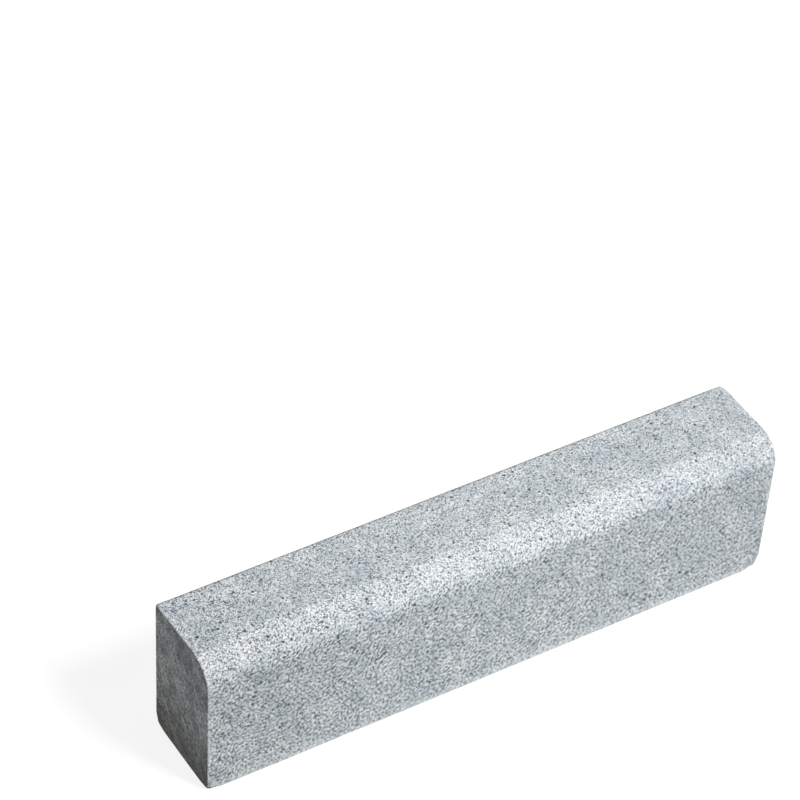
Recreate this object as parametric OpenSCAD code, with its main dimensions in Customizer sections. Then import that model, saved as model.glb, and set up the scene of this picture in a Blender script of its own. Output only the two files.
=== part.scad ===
// Granite kerb stone: one sawn block with a rounded nose along the top of its road face.
// X runs along the kerb line, the road face looks to -Y, and the bed lies on Z = 0.

/* [Stone] */
// Length along the kerb line
stone_length = 500; // [250:1:1000]
// Thickness from the road face to the back
stone_thickness = 80; // [60:1:150]
// Height from the bed to the top
stone_height = 130; // [80:1:300]

/* [Edges] */
// Radius of the nose between the top and the road face
nose_radius = 25; // [15:1:50]
// Radius of the eased arris on all the other edges
arris_radius = 2; // [1:0.5:6]

/* [Hidden] */

// Roundness of the drawn curves
$fn = 96;
// How far a cut starts outside the face that it goes into
cut_overrun = 5;
// Pale blue-grey of the sawn granite
granite_colour = [0.72, 0.75, 0.77];

// Faces of the stone in its section, where X is across the stone and Y is up
road_face = -stone_thickness / 2;
back_face = stone_thickness / 2;
bed_face = 0;
top_face = stone_height;

// Faces of the core, which is the stone less one arris radius on every side
core_length = stone_length - 2 * arris_radius;
core_road = road_face + arris_radius;
core_back = back_face - arris_radius;
core_bed = bed_face + arris_radius;
core_top = top_face - arris_radius;

// The nose of the stone and the nose of its core turn about the same line
nose_centre = [road_face + nose_radius, top_face - nose_radius];
core_nose_radius = nose_radius - arris_radius;

// Straight edges of the core's section, from the foot of the nose round to its top
core_edge = [
    [core_road, nose_centre.y],
    [core_road, core_bed],
    [core_back, core_bed],
    [core_back, core_top],
    [nose_centre.x, core_top]
];

// What a quarter circle leaves of the corner of a square, with the corner at the origin
module spandrel(radius) {
    difference() {
        translate([-cut_overrun, -cut_overrun]) square(radius + cut_overrun);
        translate([radius, radius]) circle(radius);
    }
}

// A rectangle whose corners are rounded, from the lower left one anticlockwise; 0 leaves a corner sharp
module rounded_section(left, right, bottom, top, radii) {
    corners = [[left, bottom], [right, bottom], [right, top], [left, top]];
    difference() {
        translate(corners[0]) square([right - left, top - bottom]);
        for (i = [0:3])
            if (radii[i] > 0)
                translate(corners[i]) rotate(90 * i) spandrel(radii[i]);
    }
}

// The stone's outline, with the nose at the top of the road face
module stone_section() {
    rounded_section(road_face, back_face, bed_face, top_face,
        [arris_radius, arris_radius, arris_radius, nose_radius]);
}

// The flat part of an end face, inside the rounded rim
module core_section() {
    rounded_section(core_road, core_back, core_bed, core_top, [0, 0, 0, core_nose_radius]);
}

// Stands a section upright across the kerb line, at a distance from the middle of the stone
module across_kerb(distance) {
    translate([distance, 0, 0]) rotate([90, 0, 90]) children();
}

// A length of section about the middle of the stone
module along_kerb(length) {
    across_kerb(-length / 2) linear_extrude(length) children();
}

// A rod of the arris radius between two points of the section
module arris_rod(from, to) {
    run = to - from;
    translate(from) rotate([0, 90, atan2(run.y, run.x)]) cylinder(h = norm(run), r = arris_radius);
}

// The rounded rim of an end: rods on the straight edges, balls at the corners, a ring round the nose
module end_rim() {
    last = len(core_edge) - 1;
    for (i = [1:last]) arris_rod(core_edge[i - 1], core_edge[i]);
    for (i = [1:last - 1]) translate(core_edge[i]) sphere(arris_radius);
    translate(nose_centre) rotate_extrude(angle = 90, start = 90)
        translate([core_nose_radius, 0]) circle(arris_radius);
}

module kerb_stone() {
    color(granite_colour) {
        along_kerb(stone_length) core_section();
        along_kerb(core_length) stone_section();
        for (end = [-1, 1]) across_kerb(end * core_length / 2) end_rim();
    }
}

kerb_stone();
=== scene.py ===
import math
from types import SimpleNamespace

import bpy
import numpy as np
from mathutils import Matrix, Vector


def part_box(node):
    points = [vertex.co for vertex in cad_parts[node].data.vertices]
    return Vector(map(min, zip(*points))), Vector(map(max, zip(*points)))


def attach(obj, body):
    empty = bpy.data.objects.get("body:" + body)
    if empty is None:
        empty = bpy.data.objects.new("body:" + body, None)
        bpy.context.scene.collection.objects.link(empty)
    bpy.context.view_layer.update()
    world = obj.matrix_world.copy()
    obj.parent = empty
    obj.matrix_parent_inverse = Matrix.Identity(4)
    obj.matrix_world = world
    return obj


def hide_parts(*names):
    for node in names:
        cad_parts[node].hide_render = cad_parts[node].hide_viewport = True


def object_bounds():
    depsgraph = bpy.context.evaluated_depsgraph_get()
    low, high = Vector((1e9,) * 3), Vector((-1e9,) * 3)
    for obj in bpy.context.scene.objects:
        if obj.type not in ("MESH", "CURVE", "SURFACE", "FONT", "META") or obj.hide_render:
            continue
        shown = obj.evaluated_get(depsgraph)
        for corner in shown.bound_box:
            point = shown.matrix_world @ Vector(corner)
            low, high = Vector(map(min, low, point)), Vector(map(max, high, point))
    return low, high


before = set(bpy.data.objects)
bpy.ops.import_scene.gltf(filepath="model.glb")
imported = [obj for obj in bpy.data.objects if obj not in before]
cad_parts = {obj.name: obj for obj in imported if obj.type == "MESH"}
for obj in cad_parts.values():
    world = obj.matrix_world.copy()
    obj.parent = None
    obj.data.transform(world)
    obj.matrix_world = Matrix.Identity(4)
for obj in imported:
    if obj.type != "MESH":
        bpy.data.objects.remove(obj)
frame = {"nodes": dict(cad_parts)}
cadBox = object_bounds()
print("frame:", ", ".join(frame["nodes"]))

mm = 0.001

# Where a size has a value for each end, the left end comes first.
stone = dict(
    noseReach=(26 * mm, 22.5 * mm),  # how far the nose reaches over the top
    noseDrop=(23 * mm, 19.5 * mm),  # how far it comes down the road face
    topFall=(3.0 * mm, 1.5 * mm),  # how much lower the back of the top is
    endSetBack=((0.9 * mm, 0), (3.6 * mm, 1.2 * mm)),  # how far an end's foot and its road side stand back
    longArris=(2.5 * mm, 1.8 * mm, 3.0 * mm),  # eased long edges: bed back, bed front, top back
    endArris=dict(bed=3.0 * mm, road=1.4 * mm, top=1.3 * mm, back=2.0 * mm),  # eased edges of both ends
    # where three faces meet: bed back, bed front, top back
    cornerArris=((5.5 * mm, 4.5 * mm), (4.2 * mm, 5.5 * mm), (2.4 * mm, 3.7 * mm)),
    cornerReach=12 * mm,  # how far from a corner its easing is felt
    bedSteps=44,  # quads across the bed, between its arrises
    backSteps=74,  # quads up the back, between its arrises
    lengthSteps=288,  # quads along the stone, between its rounded ends
    arrisSteps=4,  # quads in half of an arris
    noseSteps=16,  # quads in half of the nose
    endSteps=6,  # quads in the rounding of an end
)


# Rises from 0 to 1 between two values, level at both ends: 3t^2 - 2t^3.
def ease(value, low, high):
    t = np.clip((value - low) / (high - low), 0, 1)
    return t * t * (3 - 2 * t)


# Section of the stone as one closed row of points. Corner k turns from -90k to -90(k + 1) degrees,
# where 0 degrees looks to the back: bed back, bed front, nose, top back. Each point lies between
# the end of one corner and the start of the next, at a share of the way, and knows its direction.
def sectionPlan():
    half = [stone["arrisSteps"], stone["arrisSteps"], stone["noseSteps"], stone["arrisSteps"]]
    across = stone["bedSteps"] + 2 * stone["arrisSteps"]
    upward = stone["backSteps"] + 2 * stone["arrisSteps"]
    corner, turn, share = [], [], []
    for side, steps in enumerate((across, upward, across, upward)):
        first, last = half[side], half[(side + 1) % 4]
        flat = steps - first - last
        start = -90.0 * side - 45
        corner += [np.full(first + flat, side), np.full(last, side + 1)]
        turn += [start - 45 * np.arange(first) / first, np.full(flat, start - 45)]
        turn += [start - 45 - 45 * np.arange(last) / last]
        share += [np.zeros(first), np.arange(flat) / flat, np.zeros(last)]
    corner = np.concatenate(corner) % 4
    return corner, np.radians(np.concatenate(turn)), np.concatenate(share), across, upward


# Closes an end: a patch between the four sides of the last section, with opposite sides blended,
# less the corners that both blends count. Rows run from the bed up, columns from the back to the road.
def endPatch(ring, across, upward):
    bed = ring[:across + 1]
    road = ring[across:across + upward + 1]
    top = ring[across + upward:2 * across + upward + 1][::-1]
    back = np.vstack([ring[2 * across + upward:], ring[:1]])[::-1]
    u = np.linspace(0, 1, across + 1)[None, :, None]
    v = np.linspace(0, 1, upward + 1)[:, None, None]
    patch = (1 - v) * bed[None] + v * top[None] + (1 - u) * back[:, None] + u * road[:, None]
    patch -= (1 - u) * (1 - v) * bed[0] + u * (1 - v) * bed[-1] + (1 - u) * v * top[0] + u * v * top[-1]
    return patch


# The stone is that section carried along X. Towards an end the section draws in by
# radius * (1 - cos) while it moves out by radius * sin.
def stoneShape(low, high):
    corner, turn, share, across, upward = sectionPlan()
    backY, roadY, bedZ, topZ = high.y, low.y, low.z, high.z
    halfLength = (high.x - low.x) / 2
    middle = (high.x + low.x) / 2

    # stations along the stone: straight from -1 to 1, and the bend of an end past either
    bend = np.radians(np.linspace(90, 0, stone["endSteps"], endpoint=False))
    bend = np.concatenate([-bend, np.zeros(stone["lengthSteps"] + 1), bend[::-1]])
    straight = np.linspace(-1, 1, stone["lengthSteps"] + 1)
    straight = np.pad(straight, stone["endSteps"], mode="edge")
    toEnd = halfLength * (1 - np.abs(straight))
    toRight = (straight > 0).astype(int)

    # long arrises change to the corners' radii towards the ends
    corners = np.array(stone["cornerArris"])
    atEnd = (1 - ease(toEnd, 0, stone["cornerReach"]))[:, None]
    eased = np.array(stone["longArris"]) * (1 - atEnd) + corners[:, toRight].T * atEnd
    ends = ("noseReach", "noseDrop", "topFall")
    reach, drop, fall = (np.interp(straight, (-1, 1), stone[key]) for key in ends)
    radiusY = np.stack([eased[:, 0], eased[:, 1], reach, eased[:, 2]], 1)
    radiusZ = np.stack([eased[:, 0], eased[:, 1], drop, eased[:, 2]], 1)
    centreY = np.array([backY, roadY, roadY, backY]) + radiusY * np.array([-1, 1, 1, -1])
    centreZ = np.array([bedZ, bedZ, topZ, topZ]) + radiusZ * np.array([1, 1, -1, -1])
    after = (corner + 1) % 4
    lookY, lookZ = np.cos(turn), np.sin(turn)
    y0, y1 = (centreY[:, c] + radiusY[:, c] * lookY for c in (corner, after))
    z0, z1 = (centreZ[:, c] + radiusZ[:, c] * lookZ for c in (corner, after))
    sectionY = y0 * (1 - share) + y1 * share
    sectionZ = z0 * (1 - share) + z1 * share
    fromBack = (backY - sectionY) / (backY - roadY)
    sectionZ -= fall[:, None] * (1 - fromBack) * (sectionZ - bedZ) / (topZ - bedZ)

    # distance in the plain section from the three eased corners, not from the nose
    plainY, plainZ = sectionY[len(bend) // 2], sectionZ[len(bend) // 2]
    easedY = np.array([backY, roadY, backY])
    easedZ = np.array([bedZ, bedZ, topZ])
    toCorners = np.hypot(plainY[:, None] - easedY, plainZ[:, None] - easedZ)

    # an end's arris takes its radius from the face beside it, and the corners' radii near them
    rim = stone["endArris"]
    plainRim = np.maximum(lookZ, 0) ** 2 * rim["top"] + np.maximum(-lookZ, 0) ** 2 * rim["bed"]
    plainRim += np.maximum(lookY, 0) ** 2 * rim["back"] + np.maximum(-lookY, 0) ** 2 * rim["road"]
    near = 1 - ease(toCorners, 0, stone["cornerReach"])
    endRadius = plainRim[:, None] * (1 - near.sum(1, keepdims=True)) + near @ corners
    endRadius = endRadius[:, toRight].T
    inset = endRadius * (1 - np.cos(bend))[:, None]
    tubeX = straight[:, None] * (halfLength - endRadius) + endRadius * np.sin(bend)[:, None]

    # the ends are a little out of square
    fromTop = (topZ - sectionZ) / (topZ - bedZ)
    for side, (foot, front) in zip((-1, 1), stone["endSetBack"]):
        tubeX -= side * (foot * fromTop + front * fromBack) * np.clip(side * tubeX / halfLength, 0, 1)
    tube = np.stack([tubeX + middle, sectionY - inset * lookY, sectionZ - inset * lookZ], -1)
    flatten = np.cos(bend)[:, None]
    facing = np.stack([np.sin(bend)[:, None] + 0 * lookY, flatten * lookY, flatten * lookZ], -1)
    edge = np.minimum(halfLength - np.abs(tubeX), toCorners.min(1)[None, :])
    patches = [endPatch(tube[station], across, upward) for station in (0, -1)]
    return tube, facing, edge, patches


# Numbers the points and joins them: quads round the section, then the two end patches, whose
# rims use the section's own points so that the skin is closed.
def stoneFaces(stations, around, across, upward):
    index = np.arange(stations * around).reshape(stations, around)
    ahead = np.roll(index, -1, axis=1)
    faces = [np.stack([index[:-1], ahead[:-1], ahead[1:], index[1:]], -1).reshape(-1, 4)]
    count = stations * around
    inner = (upward - 1) * (across - 1)
    for ring, outward in ((index[0], -1), (index[-1], 1)):
        grid = np.zeros((upward + 1, across + 1), np.int64)
        grid[0] = ring[:across + 1]
        grid[:, -1] = ring[across:across + upward + 1]
        grid[-1] = ring[across + upward:2 * across + upward + 1][::-1]
        grid[1:, 0] = ring[2 * across + upward:][::-1]
        grid[1:-1, 1:-1] = count + np.arange(inner).reshape(upward - 1, across - 1)
        count += inner
        quads = np.stack([grid[:-1, :-1], grid[1:, :-1], grid[1:, 1:], grid[:-1, 1:]], -1)
        faces.append(quads.reshape(-1, 4)[:, ::outward])
    return np.concatenate(faces)


# Directions that the saw ran in, in degrees.
sawing = dict(
    roadSlant=37,  # above the kerb line, on the road face and the back
    scratchSlant=8,  # the same for the long scratches
    endSlant=-50,  # above the way to the road, on the ends
)

# Sizes are in metres and depths in millimetres.
skin = dict(
    seed=11,
    swells=((62 * mm, 0.20), (11 * mm, 0.10), (4.6 * mm, 0.09)),  # size and depth, on every face
    markWidth=4.2 * mm,  # marks of the saw on the road face
    markStretch=3.2,  # how much longer than wide they are
    markDepth=0.16,
    nibbles=((5.5 * mm, 0.65), (17 * mm, 0.45)),  # size and weight of the bites along an arris
    nibbleLevel=(0.62, 0.95),  # heights at which a bite starts and is full
    nibbleReach=1.5 * mm,  # how far from an arris a bite is felt
    nibbleDepth=0.16,
    squareOn=(0.8, 1),  # part of a look along a face's own axis, where that face starts and is full
    bedLoss=0.75,  # share of the relief that the bed lacks
)


# Steady value from 0 to 1 for each whole-number cell: the three numbers are multiplied by
# large primes, added and scrambled by shifts.
def cellValue(cell, seed):
    mixed = cell[..., 0] * 374761393 + cell[..., 1] * 668265263 + cell[..., 2] * 974634521 + seed * 1442695
    mixed = (mixed ^ (mixed >> 13)) * 1274126177
    return ((mixed ^ (mixed >> 16)) & 0xFFFF) / 65535.0


# Smooth random height from 0 to 1: cell values at the eight corners of a cube of the given size,
# blended by the curve 6t^5 - 15t^4 + 10t^3 along each axis.
def lumps(points, size, seed):
    place = points / size
    cell = np.floor(place).astype(np.int64)
    t = place - cell
    t = t * t * t * (t * (t * 6 - 15) + 10)
    total = np.zeros(points.shape[:-1])
    for corner in np.ndindex(2, 2, 2):
        weight = np.prod(np.where(corner, t, 1 - t), axis=-1)
        total += weight * cellValue(cell + np.array(corner), seed)
    return total


# Sawn and worn skin: how far each point sinks below the plain block, in metres. Broad swells and
# small lumps everywhere, slanted marks of the saw on the road face, bites along the arrises that
# fade by exp(-distance / reach).
def skinDepth(points, facing, edge):
    seeds = iter(range(skin["seed"], skin["seed"] + 6))
    depth = sum(deep * lumps(points, size, next(seeds)) for size, deep in skin["swells"])
    slant = np.radians(sawing["roadSlant"])
    along = points[:, 0] * np.cos(slant) + points[:, 2] * np.sin(slant)
    over = points[:, 2] * np.cos(slant) - points[:, 0] * np.sin(slant)
    marks = np.stack([along / skin["markStretch"], over, points[:, 1]], 1)
    marks = lumps(marks, skin["markWidth"], next(seeds))
    depth += skin["markDepth"] * ease(-facing[:, 1], *skin["squareOn"]) * marks
    bites = sum(weight * lumps(points, size, next(seeds)) for size, weight in skin["nibbles"])
    bites = ease(bites, *skin["nibbleLevel"])
    depth += skin["nibbleDepth"] * np.exp(-edge / skin["nibbleReach"]) * bites
    bed = ease(-facing[:, 2], *skin["squareOn"])
    return depth * (1 - skin["bedLoss"] * bed) * mm


# The mesh: each point of the shape, sunk against the way it looks by the depth of the skin.
def buildStone():
    low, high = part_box("kerb_stone")
    tube, facing, edge, patches = stoneShape(low, high)
    upward, across = np.array(patches[0].shape[:2]) - 1
    faces = stoneFaces(*tube.shape[:2], across, upward)
    inner = [patch[1:-1, 1:-1].reshape(-1, 3) for patch in patches]
    points = np.concatenate([tube.reshape(-1, 3)] + inner)
    looks = [np.tile([side, 0.0, 0.0], (len(inner[0]), 1)) for side in (-1.0, 1.0)]
    facing = np.concatenate([facing.reshape(-1, 3)] + looks)
    # a point inside an end measures its edge distance to the nearest side of the stone's box
    rims = []
    for flat in inner:
        sideways = np.minimum(flat[:, 1] - low.y, high.y - flat[:, 1])
        upright = np.minimum(flat[:, 2] - low.z, high.z - flat[:, 2])
        rims.append(np.minimum(sideways, upright))
    edge = np.concatenate([edge.reshape(-1)] + rims)
    points = points - facing * skinDepth(points, facing, edge)[:, None]

    mesh = bpy.data.meshes.new("kerbStone")
    mesh.from_pydata(points, [], faces)
    mesh.polygons.foreach_set("use_smooth", np.ones(len(faces), bool))
    mesh.attributes.new("facing", "FLOAT_VECTOR", "POINT").data.foreach_set("vector", facing.ravel())
    mesh.update()
    kerb = bpy.data.objects.new("kerbStone", mesh)
    bpy.context.scene.collection.objects.link(kerb)
    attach(kerb, "root")
    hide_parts("kerb_stone")
    print("stone:", len(points), "points,", len(faces), "quads")
    return kerb


kerb = buildStone()


def addNode(tree, kind, inputs=None, **settings):
    node = tree.nodes.new("ShaderNode" + kind)
    for name, value in settings.items():
        setattr(node, name, value)
    for key, value in (inputs or {}).items():
        if isinstance(value, bpy.types.NodeSocket):
            tree.links.new(value, node.inputs[key])
        else:
            node.inputs[key].default_value = value
    return node


def calc(tree, operation, *values):
    return addNode(tree, "Math", dict(enumerate(values)), operation=operation).outputs[0]


def vectorCalc(tree, operation, *values):
    return addNode(tree, "VectorMath", dict(enumerate(values)), operation=operation).outputs["Vector"]


# Smooth step between two values
def rise(tree, value, low, high, toLow=0.0, toHigh=1.0):
    inputs = {"Value": value, "From Min": low, "From Max": high, "To Min": toLow, "To Max": toHigh}
    return addNode(tree, "MapRange", inputs, interpolation_type="SMOOTHSTEP").outputs["Result"]


# Product of two values: of two masks it is where both are 1
def times(tree, first, second):
    return calc(tree, "MULTIPLY", first, second)


# 1 where the mask is 0
def without(tree, mask):
    return calc(tree, "SUBTRACT", 1.0, mask)


# A value that follows another about its middle: base + gain * (other - middle)
def sway(tree, other, gain, base, middle=0.5):
    return calc(tree, "MULTIPLY_ADD", calc(tree, "SUBTRACT", other, middle), gain, base)


def noise(tree, place, scale, detail, roughness=0.5, output="Fac"):
    inputs = {"Vector": place, "Scale": scale, "Detail": detail, "Roughness": roughness}
    return addNode(tree, "TexNoise", inputs).outputs[output]


# Moves a place about by noise, so that what is drawn there gets crooked edges
def wander(tree, place, scale, detail, amount):
    shift = noise(tree, place, scale, detail, output="Color")
    shift = vectorCalc(tree, "SUBTRACT", shift, (0.5, 0.5, 0.5))
    return vectorCalc(tree, "MULTIPLY_ADD", shift, (amount, amount, amount), place)


# Turns a place about Y by a slant in degrees, after a turn about Z, so that X runs along the slant
def turnPlace(tree, place, slant, aboutZ=0):
    turned = (0, -math.radians(slant), math.radians(aboutZ))
    return addNode(tree, "Mapping", {"Vector": place, "Rotation": turned}, vector_type="TEXTURE").outputs[0]


def blend(tree, kind, share, first, second):
    inputs = {0: share, 6: first, 7: second}
    return addNode(tree, "Mix", inputs, data_type="RGBA", blend_type=kind).outputs[2]


# Multiplies the colour by a shade where the mask is 1
def tint(tree, colour, mask, shade):
    return blend(tree, "MULTIPLY", mask, colour, (*shade, 1))


# Multiplies the colour by a value that changes over the surface, where the mask is 1
def dim(tree, colour, mask, value):
    grey = addNode(tree, "CombineColor", {0: value, 1: value, 2: value}).outputs[0]
    return blend(tree, "MULTIPLY", mask, colour, grey)


def colourRamp(tree, value, stops):
    ramp = addNode(tree, "ValToRGB", {0: value})
    elements = ramp.color_ramp.elements
    while len(elements) < len(stops):
        elements.new(0.5)
    for element, (spot, colour) in zip(elements, stops):
        element.position = spot
        element.color = (*colour, 1)
    return ramp.outputs["Color"]


# Group with inputs named in a dictionary, where None is a vector and a number is a value's default,
# and with values as its outputs
def newGroup(name, ins, outs):
    tree = bpy.data.node_groups.new(name, "ShaderNodeTree")
    for label, value in ins.items():
        kind = "NodeSocketVector" if value is None else "NodeSocketFloat"
        socket = tree.interface.new_socket(name=label, in_out="INPUT", socket_type=kind)
        if value is not None:
            socket.default_value = value
    for label in outs:
        tree.interface.new_socket(name=label, in_out="OUTPUT", socket_type="NodeSocketFloat")
    return tree, tree.nodes.new("NodeGroupInput").outputs, tree.nodes.new("NodeGroupOutput").inputs


def useGroup(tree, group, inputs):
    return addNode(tree, "Group", inputs, node_tree=group).outputs


# Sizes are in millimetres. Three values in a row are for the three kinds of face: the top and the
# nose, the long sawn faces, the ends.
granite = dict(
    grainSize=((0.76, 0.76, 0.76), (1.35, 0.66, 0.66), (1.25, 0.95, 0.95)),  # along the saw, then across it
    grainGain=(1.1, 1.2, 1.0),  # contrast from grain to grain
    smallGrain=(2.1, 0.25),  # how many times smaller the small grains are, and their share
    crook=(1.3, 1.0, 0.3),  # scale, detail and amount of the grains' crooked edges
    spotSize=((1.5, 1.5, 1.5), (1.9, 1.9, 1.9), (3.4, 3.4, 3.4)),  # soft spots that grains make together
    spotGain=(0.35, 0.10, 0.30),
    shade=(0.5, 0.53, 0.62),  # middle shade, as a place among the minerals
    contrast=(0.97, -0.0005),  # in the middle of the stone, and its change for each millimetre to the right
    pivot=0.53,  # shade that the contrast leaves alone
    minerals=(
        (0.0, (0.06, 0.07, 0.08)),
        (0.17, (0.11, 0.12, 0.135)),
        (0.25, (0.37, 0.41, 0.44)),
        (0.42, (0.52, 0.56, 0.59)),
        (0.60, (0.66, 0.70, 0.72)),
        (0.76, (0.84, 0.87, 0.88)),
        (1.0, (0.92, 0.93, 0.93)),
    ),
    clouds=((0.3, (0.83, 0.865, 0.90)), (0.7, (1.06, 1.055, 1.05))),  # tints of soft patches
    cloudNoise=(0.045, 3.0),  # scale and detail
    softNoise=(0.13, 4.0, 0.65),  # scale, detail and roughness of the noise that frays borders
    # part of the look along Y from which a face is a long one: middle, how far it frays, most
    longFrom=(0.94, 0.45, 0.985),
    endFrom=0.75,  # part of the look along X from which a face is an end
)

# Dashes on the long sawn faces, packed side by side.
dash = dict(
    size=(3.0, 1.8),  # along the saw, then across it
    scatter=0.8,  # how far they lie out of rank
    core=(0.6, 0.05),  # distances from a dash's middle at which it starts and is full
    darkness=(0.6, 0.8),  # least darkness of a dash, and how much darker some are
    level=0.32,  # brightness between the dashes
    gain=0.62,
)

# Dark flecks: common small ones that thin out to the right and gather on the nose, a few large black ones.
fleck = dict(
    stretch=((1, 1, 1), (2.2, 1, 1), (2.2, 1, 1)),  # flecks are drawn out on sawn faces
    crook=(1.1, 0.0, 0.8),  # scale, detail and amount of their crooked edges
    edge=(1.12, 0.85),  # where a fleck fades out, in parts of its radius
    common=dict(spacing=2.4, radius=(0.62, 0.56, 0.62), show=(0.85, 0.68, 0.085), colour=(0.09, 0.10, 0.112)),
    commonShare=(0.48, 0.38, 0.38),  # share of the cells that hold a fleck
    commonThin=-0.0003,  # change of that share for each millimetre to the right
    commonOnNose=0.12,  # what the nose adds to it
    noseLook=(-0.1, -0.4),  # part of the look along Y at which the nose starts and is full
    black=dict(spacing=5.6, radius=(0.85, 0.65, 0.65), show=(0.9, 0.9, 0.1), colour=(0.03, 0.032, 0.035)),
    blackShare=0.6,
)


# Three random values for each grain
def grainShades(tree, place, scale):
    cells = addNode(tree, "TexVoronoi", {"Vector": place, "Scale": scale}).outputs["Color"]
    return addNode(tree, "SeparateColor", {0: cells}).outputs


# Interlocking mineral grains, with smaller ones mixed in
def grainGroup():
    tree, given, out = newGroup("mineralGrain", dict(Vector=None), ["Shade", "Second"])
    place = wander(tree, given["Vector"], *granite["crook"])
    smallScale, smallShare = granite["smallGrain"]
    large = grainShades(tree, place, 1.0)
    small = grainShades(tree, place, smallScale)
    mixed = addNode(tree, "Mix", {0: smallShare, 2: large[0], 3: small[0]}).outputs[0]
    tree.links.new(mixed, out["Shade"])
    tree.links.new(large[1], out["Second"])
    return tree


# Loose dark flecks: a spot round the middle of some of the cells, with 0.5 to 1.5 times the radius
def fleckGroup():
    ins = dict(Vector=None, Spacing=4.0, Radius=0.8, Share=0.5)
    tree, given, out = newGroup("darkFleck", ins, ["Mask"])
    place = wander(tree, given["Vector"], *fleck["crook"])
    place = vectorCalc(tree, "DIVIDE", place, given["Spacing"])
    cells = addNode(tree, "TexVoronoi", {"Vector": place, "Scale": 1.0}).outputs
    random = addNode(tree, "SeparateColor", {0: cells["Color"]}).outputs
    gap = times(tree, cells["Distance"], given["Spacing"])
    reach = times(tree, given["Radius"], calc(tree, "ADD", random[1], 0.5))
    spot = rise(tree, calc(tree, "DIVIDE", gap, reach), *fleck["edge"])
    kept = calc(tree, "LESS_THAN", random[0], given["Share"])
    tree.links.new(times(tree, spot, kept), out["Mask"])
    return tree


# Short dashes packed side by side: flat cells, each dark in its middle and pale round it
def dashGroup():
    tree, given, out = newGroup("sawDash", dict(Along=0.0, Across=0.0), ["Shade"])
    place = addNode(tree, "CombineXYZ", {0: given["Along"], 1: given["Across"]}).outputs[0]
    inputs = {"Vector": place, "Scale": 1.0, "Randomness": dash["scatter"]}
    cells = addNode(tree, "TexVoronoi", inputs, voronoi_dimensions="2D").outputs
    random = addNode(tree, "SeparateColor", {0: cells["Color"]}).outputs
    least, spread = dash["darkness"]
    core = rise(tree, cells["Distance"], *dash["core"])
    core = times(tree, core, calc(tree, "MULTIPLY_ADD", random[0], spread, least))
    tree.links.new(calc(tree, "SUBTRACT", dash["level"], core), out["Shade"])
    return tree


# Fine parallel marks left by tools: noise drawn out along local X and cut off softly at a level
def markGroup():
    ins = dict(Vector=None, Length=12.0, Width=1.2, Level=0.6, Soft=0.12)
    tree, given, out = newGroup("toolMark", ins, ["Mask"])
    size = addNode(tree, "CombineXYZ", {0: given["Length"], 1: given["Width"], 2: given["Width"]}).outputs[0]
    place = vectorCalc(tree, "DIVIDE", given["Vector"], size)
    full = calc(tree, "ADD", given["Level"], given["Soft"])
    tree.links.new(rise(tree, noise(tree, place, scale=1.0, detail=1.5), given["Level"], full), out["Mask"])
    return tree


# The value for the kind of face that a point is on: plain + onLong * (long - plain) + onEnd * (end - plain)
def perFace(tree, at, values):
    plain, long, end = values
    value = calc(tree, "MULTIPLY_ADD", at.onLong, long - plain, plain)
    return calc(tree, "MULTIPLY_ADD", at.onEnd, end - plain, value)


# The vector for the kind of face that a point is on
def pickFace(tree, at, plain, long, end):
    onLong = addNode(tree, "Mix", {0: at.onLong, 4: plain, 5: long}, data_type="VECTOR").outputs[1]
    return addNode(tree, "Mix", {0: at.onEnd, 4: onLong, 5: end}, data_type="VECTOR").outputs[1]


# What the finish needs to know of a point: its place in millimetres, which way it looks, noise to
# fray borders with, masks of the long sawn faces and the ends, and its place along the saw's path
def findPlace(tree):
    at = SimpleNamespace()
    place = addNode(tree, "TexCoord").outputs["Object"]
    at.place = addNode(tree, "VectorMath", {0: place, "Scale": 1 / mm}, operation="SCALE").outputs["Vector"]
    at.x, at.y, at.z = addNode(tree, "SeparateXYZ", {0: at.place}).outputs
    facing = addNode(tree, "Attribute", attribute_name="facing").outputs["Vector"]
    at.lookX, at.lookY, at.lookZ = addNode(tree, "SeparateXYZ", {0: facing}).outputs
    at.fray = noise(tree, at.place, *granite["softNoise"])

    square, fraying, most = granite["longFrom"]
    square = calc(tree, "MINIMUM", sway(tree, at.fray, fraying, square), most)
    at.onLong = calc(tree, "GREATER_THAN", calc(tree, "ABSOLUTE", at.lookY), square)
    at.onEnd = calc(tree, "GREATER_THAN", calc(tree, "ABSOLUTE", at.lookX), granite["endFrom"])
    at.onLeft = calc(tree, "LESS_THAN", at.lookX, -granite["endFrom"])
    at.roadWay = turnPlace(tree, at.place, sawing["roadSlant"])
    at.scratchWay = turnPlace(tree, at.place, sawing["scratchSlant"])
    at.endWay = turnPlace(tree, at.place, sawing["endSlant"], aboutZ=-90)
    at.sawWay = pickFace(tree, at, at.place, at.roadWay, at.endWay)
    return at


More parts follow.
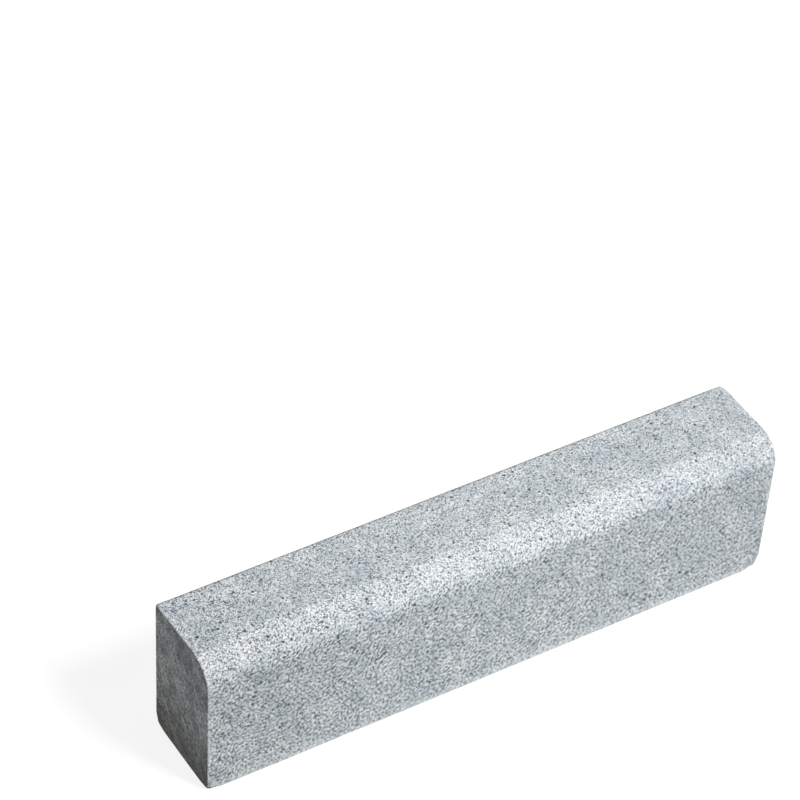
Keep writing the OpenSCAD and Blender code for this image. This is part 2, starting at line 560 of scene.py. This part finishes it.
# Shades of the grains, spots and dashes together, turned into the colours of the minerals
def mineralColour(tree, at):
    size = pickFace(tree, at, *granite["grainSize"])
    grains = useGroup(tree, grainGroup(), {"Vector": vectorCalc(tree, "DIVIDE", at.sawWay, size)})
    size = pickFace(tree, at, *granite["spotSize"])
    spots = noise(tree, vectorCalc(tree, "DIVIDE", at.sawWay, size), scale=1.0, detail=0.0)
    shade = perFace(tree, at, granite["shade"])
    shade = sway(tree, grains["Shade"], perFace(tree, at, granite["grainGain"]), shade)
    shade = sway(tree, spots, perFace(tree, at, granite["spotGain"]), shade)
    along, _, across = addNode(tree, "SeparateXYZ", {0: at.roadWay}).outputs
    inputs = {"Along": calc(tree, "DIVIDE", along, dash["size"][0])}
    inputs["Across"] = calc(tree, "DIVIDE", across, dash["size"][1])
    dashes = useGroup(tree, dashGroup(), inputs)["Shade"]
    shade = calc(tree, "MULTIPLY_ADD", dashes, times(tree, at.onLong, dash["gain"]), shade)
    middle, change = granite["contrast"]
    contrast = calc(tree, "MULTIPLY_ADD", at.x, change, middle)
    shade = sway(tree, shade, contrast, granite["pivot"], granite["pivot"])
    return colourRamp(tree, shade, granite["minerals"]), grains["Second"]


def addFlecks(tree, at, colour):
    place = vectorCalc(tree, "DIVIDE", at.sawWay, pickFace(tree, at, *fleck["stretch"]))
    onNose = times(tree, rise(tree, at.lookY, *fleck["noseLook"]), without(tree, at.onLong))
    share = calc(tree, "MULTIPLY_ADD", at.x, fleck["commonThin"], perFace(tree, at, fleck["commonShare"]))
    share = calc(tree, "MULTIPLY_ADD", onNose, fleck["commonOnNose"], share)
    group = fleckGroup()
    masks = []
    for kind, kept in ((fleck["common"], share), (fleck["black"], fleck["blackShare"])):
        radius = perFace(tree, at, kind["radius"])
        inputs = {"Vector": place, "Spacing": kind["spacing"], "Radius": radius, "Share": kept}
        mask = useGroup(tree, group, inputs)["Mask"]
        show = times(tree, mask, perFace(tree, at, kind["show"]))
        colour = blend(tree, "MIX", show, colour, (*kind["colour"], 1))
        masks.append(mask)
    return colour, masks[0]


# Marks of the saw, in millimetres: dark streaks, pale ridges and long dark scratches on the long
# faces, the scratches mostly to the left, and pale arcs on the ends.
marks = dict(
    streak=dict(length=6.0, width=0.8, level=0.61, show=0.3, shade=(0.4, 0.43, 0.45)),
    ridge=dict(length=6.0, width=0.8, level=0.58, show=1.0, shade=(1.08, 1.08, 1.075)),
    ridgeShift=(31.0, 47.0, 13.0),  # keeps the ridges off the streaks
    scratch=dict(length=40.0, width=1.2, level=0.655, show=0.9, shade=(0.4, 0.42, 0.44)),
    scratchX=(60.0, -160.0, 0.25, 1.0),  # from here to there the scratches go from faint to full
    arc=dict(length=45.0, width=3.6, level=0.57, show=1.0, shade=(1.45, 1.45, 1.45)),
)


def markMask(tree, group, place, mark, where):
    inputs = {"Vector": place, "Length": mark["length"], "Width": mark["width"], "Level": mark["level"]}
    return times(tree, useGroup(tree, group, inputs)["Mask"], where)


def showMark(tree, colour, mask, mark):
    return tint(tree, colour, times(tree, mask, mark["show"]), mark["shade"])


def addSawMarks(tree, at, colour, group):
    shifted = vectorCalc(tree, "ADD", at.sawWay, marks["ridgeShift"])
    streak = markMask(tree, group, at.sawWay, marks["streak"], at.onLong)
    ridge = markMask(tree, group, shifted, marks["ridge"], at.onLong)
    scratch = markMask(tree, group, at.scratchWay, marks["scratch"], at.onLong)
    scratch = times(tree, scratch, rise(tree, at.x, *marks["scratchX"]))
    colour = showMark(tree, colour, streak, marks["streak"])
    colour = showMark(tree, colour, ridge, marks["ridge"])
    colour = showMark(tree, colour, scratch, marks["scratch"])
    return colour, streak, scratch


# Wear and tones of the top, the nose and the road face. Two numbers are where a tone starts and
# where it is full: X, Y and Z in millimetres, a look as the part of it that is along an axis.
tones = dict(
    leftPale=-0.0002,  # change of the whole stone's tone for each millimetre to the right
    wearAndHighlightReach=(0.7, 2.1, 0.7),  # distance in which the wear and painted highlight of an end's arris halves, on each kind of face
    footBounceReach=3.2,  # the same for the painted bounce light above the road face's foot
    wearAndHighlightMix=0.5,
    wornAndLitColour=(0.82, 0.84, 0.845),
    wearAndHighlightTint=(1.2, 1.2, 1.19),
    topLook=(0.6, 0.9),
    # painted light: the top lighter towards its back edge
    paleY=(0.0, 40.0),
    pale=(1.07, 1.07, 1.07),
    # warm painted shade along the top back edge
    backEdgeShadeLook=(0.2, 0.5),
    backEdgeShadeY=(36.4, 38.4),
    backEdgeShade=(0.60, 0.52, 0.43),
    roadFray=-0.30,
    roadLook=(-0.70, -0.98),
    road=(1.0, 1.015, 1.02),
    # the nose tinted warmer, as painted warm light
    noseLook=(-0.15, -0.5),
    nose=(1.015, 0.99, 0.985),
    # painted highlight along the shoulder of the nose
    shoulderLook=(-0.02, -0.16),
    shoulderEnd=(-0.6, -0.34),
    shoulder=(1.07, 1.065, 1.06),
    # painted bounce light towards the road face's foot
    lowZ=(100.0, 10.0),
    low=(1.10, 1.10, 1.10),
    # painted shade towards the left end of the road face
    leftX=(0.0, -240.0),
    left=(0.93, 0.93, 0.93),
)


# Arrises are painted paler, as wear and as a painted highlight, by 0.5 to the power of distance / reach, more
# so round the long faces
def wearAndHighlightArrises(tree, at, colour):
    halfLength = (cadBox[1][0] - cadBox[0][0]) / 2 / mm
    gap = calc(tree, "SUBTRACT", halfLength, calc(tree, "ABSOLUTE", at.x))
    wearAndHighlight = calc(tree, "POWER", 0.5, calc(tree, "DIVIDE", gap, perFace(tree, at, tones["wearAndHighlightReach"])))
    wearAndHighlight = times(tree, wearAndHighlight, without(tree, at.onEnd))
    # painted bounce light along the foot of the long faces
    footBounceLight = calc(tree, "POWER", 0.5, calc(tree, "DIVIDE", at.z, tones["footBounceReach"]))
    wearAndHighlight = calc(tree, "MAXIMUM", wearAndHighlight, times(tree, footBounceLight, at.onLong))
    colour = blend(tree, "MIX", times(tree, wearAndHighlight, tones["wearAndHighlightMix"]), colour, (*tones["wornAndLitColour"], 1))
    return tint(tree, colour, wearAndHighlight, tones["wearAndHighlightTint"])


# The top is painted lighter towards its back edge, and that edge gets a warm painted shade
def toneTop(tree, at, colour):
    # painted light: the top lighter towards its back edge
    pale = times(tree, rise(tree, at.lookZ, *tones["topLook"]), rise(tree, at.y, *tones["paleY"]))
    colour = tint(tree, colour, pale, tones["pale"])
    # warm painted shade along the top back edge
    backEdgeShade = times(tree, rise(tree, at.y, *tones["backEdgeShadeY"]), rise(tree, at.lookZ, *tones["backEdgeShadeLook"]))
    return tint(tree, colour, backEdgeShade, tones["backEdgeShade"])


# The nose is tinted warmer, as painted warm light, and palest at its shoulder, as a painted highlight; the
# road face pales to its foot, as painted bounce light, and to the right, with painted shade on its left part
def toneRoad(tree, at, colour):
    slope = sway(tree, at.fray, tones["roadFray"], at.lookY)
    onRoad = rise(tree, slope, *tones["roadLook"])
    colour = tint(tree, colour, onRoad, tones["road"])
    # the nose tinted warmer, as painted warm light
    onNose = times(tree, rise(tree, at.lookY, *tones["noseLook"]), without(tree, onRoad))
    colour = tint(tree, colour, onNose, tones["nose"])
    # painted highlight along the shoulder of the nose
    shoulder = rise(tree, at.lookY, *tones["shoulderLook"])
    shoulder = times(tree, shoulder, rise(tree, at.lookY, *tones["shoulderEnd"]))
    colour = tint(tree, colour, shoulder, tones["shoulder"])
    # painted bounce light towards the road face's foot
    low = times(tree, onRoad, rise(tree, at.z, *tones["lowZ"]))
    colour = tint(tree, colour, low, tones["low"])
    # painted shade towards the left end of the road face
    left = times(tree, onRoad, rise(tree, at.x, *tones["leftX"]))
    return tint(tree, colour, left, tones["left"])


# Tones of the ends, in the same way: pale grains on both, the rest on the left one only, mostly painted
# shade.
endTones = dict(
    # blotches on the left end, which also darken it as painted shade
    blotchNoise=(0.09, 2.0),  # scale and detail
    blotch=(0.3, 0.7, 0.52, 0.86),  # noise from low to high, and the tones that it gives
    glintFrom=(0.65, 0.95),
    glint=(1.9, 1.9, 1.9),
    # painted shade on the left end: its upper part, front part and foot
    upperZ=(62.0, 114.0),
    upper=(0.78, 0.79, 0.80),
    frontY=(25.0, -25.0),
    front=(0.90, 0.92, 0.93),
    footFray=30.0,
    footZ=(72.0, 4.0),
    foot=(0.48, 0.46, 0.415),
    backY=(22.0, 39.0),
    back=(1.02, 0.98, 0.90),
)


# Blotches, pale grains and arcs; painted shade on the left end: blotches that darken it, a duller upper and
# front part, a dark foot; a warmer back edge
def toneEnds(tree, at, colour, second, group):
    # blotches on the left end, which also darken it as painted shade
    blotch = rise(tree, noise(tree, at.place, *endTones["blotchNoise"]), *endTones["blotch"])
    colour = dim(tree, colour, at.onLeft, blotch)
    glint = times(tree, rise(tree, second, *endTones["glintFrom"]), at.onEnd)
    colour = tint(tree, colour, glint, endTones["glint"])
    arc = markMask(tree, group, at.endWay, marks["arc"], at.onEnd)
    colour = showMark(tree, colour, arc, marks["arc"])
    # painted shade: the left end's upper part, then its front part, darker
    upper = times(tree, at.onLeft, rise(tree, at.z, *endTones["upperZ"]))
    colour = tint(tree, colour, upper, endTones["upper"])
    front = times(tree, at.onLeft, rise(tree, at.y, *endTones["frontY"]))
    colour = tint(tree, colour, front, endTones["front"])
    # painted shade at the left end's foot, with a frayed border
    foot = sway(tree, at.fray, endTones["footFray"], at.z)
    foot = times(tree, at.onLeft, rise(tree, foot, *endTones["footZ"]))
    colour = tint(tree, colour, foot, endTones["foot"])
    back = times(tree, at.onLeft, rise(tree, at.y, *endTones["backY"]))
    return tint(tree, colour, back, endTones["back"])


# Fine relief in millimetres, and the sheen.
relief = dict(grain=0.05, fleck=-0.06, streak=-0.06, scratch=-0.08, roughness=(0.66, 0.86), specular=0.2)


def graniteMaterial():
    material = bpy.data.materials.new("sawnGranite")
    material.use_nodes = True
    tree = material.node_tree
    shader = tree.nodes["Principled BSDF"]
    at = findPlace(tree)
    group = markGroup()

    colour, second = mineralColour(tree, at)
    colour, flecks = addFlecks(tree, at, colour)
    clouds = colourRamp(tree, noise(tree, at.place, *granite["cloudNoise"]), granite["clouds"])
    colour = blend(tree, "MULTIPLY", 1.0, colour, clouds)
    colour, streak, scratch = addSawMarks(tree, at, colour, group)
    colour = dim(tree, colour, 1.0, calc(tree, "MULTIPLY_ADD", at.x, tones["leftPale"], 1.0))
    colour = wearAndHighlightArrises(tree, at, colour)
    colour = toneTop(tree, at, colour)
    colour = toneRoad(tree, at, colour)
    colour = toneEnds(tree, at, colour, second, group)
    tree.links.new(colour, shader.inputs["Base Color"])
    tree.links.new(rise(tree, second, 0.0, 1.0, *relief["roughness"]), shader.inputs["Roughness"])
    shader.inputs["Specular IOR Level"].default_value = relief["specular"]

    height = times(tree, second, relief["grain"])
    for mask, depth in ((flecks, "fleck"), (streak, "streak"), (scratch, "scratch")):
        height = calc(tree, "MULTIPLY_ADD", mask, relief[depth], height)
    bump = addNode(tree, "Bump", {"Height": height, "Strength": 1.0, "Distance": mm})
    tree.links.new(bump.outputs["Normal"], shader.inputs["Normal"])
    print("granite:", len(tree.nodes), "nodes")
    return material


kerb.data.materials.append(graniteMaterial())

# The view was fitted to the stone's outline. Angles are in degrees and lengths in metres.
view = dict(
    turn=-33.356,
    raised=42.294,
    roll=3.471,
    aim=(0, 0, 0.065),  # middle of the stone
    distance=2.83608,  # from that middle
    slideRight=0.05386,  # how far the middle lies from the axis of the view
    slideUp=-0.13724,
    focal=3750.79,  # focal length in pixels
    imageWidth=800,
    sensorWidth=36,
)


def placeCamera():
    turn, raised, roll = (math.radians(view[key]) for key in ("turn", "raised", "roll"))
    back = Vector((math.sin(turn) * math.cos(raised), -math.cos(turn) * math.cos(raised), math.sin(raised)))
    level = Vector((0, 0, 1)).cross(back).normalized()
    upright = back.cross(level)
    right = level * math.cos(roll) + upright * math.sin(roll)
    up = upright * math.cos(roll) - level * math.sin(roll)
    place = Vector(view["aim"]) + back * view["distance"] - right * view["slideRight"] - up * view["slideUp"]
    data = bpy.data.cameras.new("camera")
    data.sensor_width = view["sensorWidth"]
    data.lens = view["focal"] / view["imageWidth"] * view["sensorWidth"]
    camera = bpy.data.objects.new("camera", data)
    camera.matrix_world = Matrix.Translation(place) @ Matrix((right, up, back)).transposed().to_4x4()
    bpy.context.scene.collection.objects.link(camera)
    bpy.context.scene.camera = camera
    print("camera:", round(data.lens, 1), "mm at", [round(v, 3) for v in place])


placeCamera()

# At level 1 a lamp lights a face square to it so that its colour shows as written.
studio = dict(
    keyFrom=(0.15, -0.58, 0.84),  # direction of the key lamp from the stone
    keyDistance=1.2,
    keySize=0.35,
    keyLevel=1.08,
    fillAt=(-0.47, -0.02, 0.17),  # small lamp that lights the left end
    fillSpot=(-0.25, 0, 0.11),  # where it points
    fillSize=0.1,
    fillLevel=0.098,
    fillColour=(1.0, 0.97, 0.93),
    rearAt=(0.78, 0.92, 0.10),  # lower than the top, so that it lights the back and the right end only
    rearSpot=(0.1, 0, 0.065),
    rearSize=0.1,
    rearLevel=0.32,
    skyLevel=0.10,
    floorReach=6,
    floorSteps=4,
    floorBounce=(0.335, 0.33, 0.325),  # floor colour that lights the stone
    floorShade=(0.30, 0.30, 0.30),  # floor colour that shows the shadow
    floorGlow=0.86,  # white that the camera sees near the stone without light
    glowFrom=(0.5, 1.0),  # distances from the stone at which that white starts to rise and is full
)


# 1 for rays that show the surroundings: seen straight, in gloss or through glass
def seenDirectly(tree):
    path = addNode(tree, "LightPath").outputs
    seen = calc(tree, "MAXIMUM", path["Is Camera Ray"], path["Is Glossy Ray"])
    return calc(tree, "MAXIMUM", seen, path["Is Transmission Ray"])


# Square lamp that looks at a spot
def addLamp(name, place, spot, size, level, colour=(1, 1, 1)):
    away = Vector(place) - Vector(spot)
    data = bpy.data.lights.new(name, "AREA")
    data.size = size
    data.color = colour
    data.energy = level * (math.pi * away.length) ** 2
    lamp = bpy.data.objects.new(name, data)
    lamp.location = place
    lamp.rotation_euler = away.to_track_quat("Z", "Y").to_euler()
    lamp.visible_camera = False
    bpy.context.scene.collection.objects.link(lamp)
    print(name + ":", round(data.energy, 2), "W")


def lightStudio():
    aim = Vector(view["aim"])
    key = aim + Vector(studio["keyFrom"]).normalized() * studio["keyDistance"]
    addLamp("keyLamp", key, aim, studio["keySize"], studio["keyLevel"])
    addLamp("fillLamp", studio["fillAt"], studio["fillSpot"], studio["fillSize"], studio["fillLevel"],
            studio["fillColour"])
    addLamp("rearLamp", studio["rearAt"], studio["rearSpot"], studio["rearSize"], studio["rearLevel"])
    world = bpy.data.worlds.new("softRoom")
    bpy.context.scene.world = world
    world.use_nodes = True
    tree = world.node_tree
    sky = tree.nodes["Background"]
    sky.inputs["Color"].default_value = (1, 1, 1, 1)
    seen = seenDirectly(tree)
    strength = calc(tree, "MULTIPLY_ADD", seen, 1 - studio["skyLevel"], studio["skyLevel"])
    tree.links.new(strength, sky.inputs["Strength"])
    print("room:", studio["skyLevel"], "of white")


# White to the camera apart from a soft shadow, greyer where it lights the stone
def floorMaterial():
    material = bpy.data.materials.new("paleFloor")
    material.use_nodes = True
    tree = material.node_tree
    tree.nodes.remove(tree.nodes["Principled BSDF"])
    seen = seenDirectly(tree)
    colour = blend(tree, "MIX", seen, (*studio["floorBounce"], 1), (*studio["floorShade"], 1))
    matt = addNode(tree, "BsdfDiffuse", {"Color": colour}).outputs[0]
    away = vectorCalc(tree, "MULTIPLY", addNode(tree, "TexCoord").outputs["Object"], (1, 1, 0))
    away = addNode(tree, "VectorMath", {0: away}, operation="LENGTH").outputs["Value"]
    glow = times(tree, seen, rise(tree, away, *studio["glowFrom"], studio["floorGlow"], 1.0))
    white = addNode(tree, "Emission", {"Color": (1, 1, 1, 1), "Strength": glow}).outputs[0]
    mixed = addNode(tree, "AddShader", {0: matt, 1: white}).outputs[0]
    tree.links.new(mixed, tree.nodes["Material Output"].inputs["Surface"])
    return material


# Level floor as a grid of two parameters
def layFloor():
    reach = np.linspace(-studio["floorReach"], studio["floorReach"], studio["floorSteps"] + 1)
    x, y = np.meshgrid(reach, reach)
    points = np.stack([x, y, 0 * x], -1).reshape(-1, 3)
    index = np.arange(len(points)).reshape(x.shape)
    faces = np.stack([index[:-1, :-1], index[:-1, 1:], index[1:, 1:], index[1:, :-1]], -1).reshape(-1, 4)
    mesh = bpy.data.meshes.new("floor")
    mesh.from_pydata(points, [], faces)
    mesh.materials.append(floorMaterial())
    floor = bpy.data.objects.new("floor", mesh)
    bpy.context.scene.collection.objects.link(floor)
    print("floor:", len(faces), "quads")


lightStudio()
layFloor()
bpy.context.scene.view_settings.view_transform = "Standard"
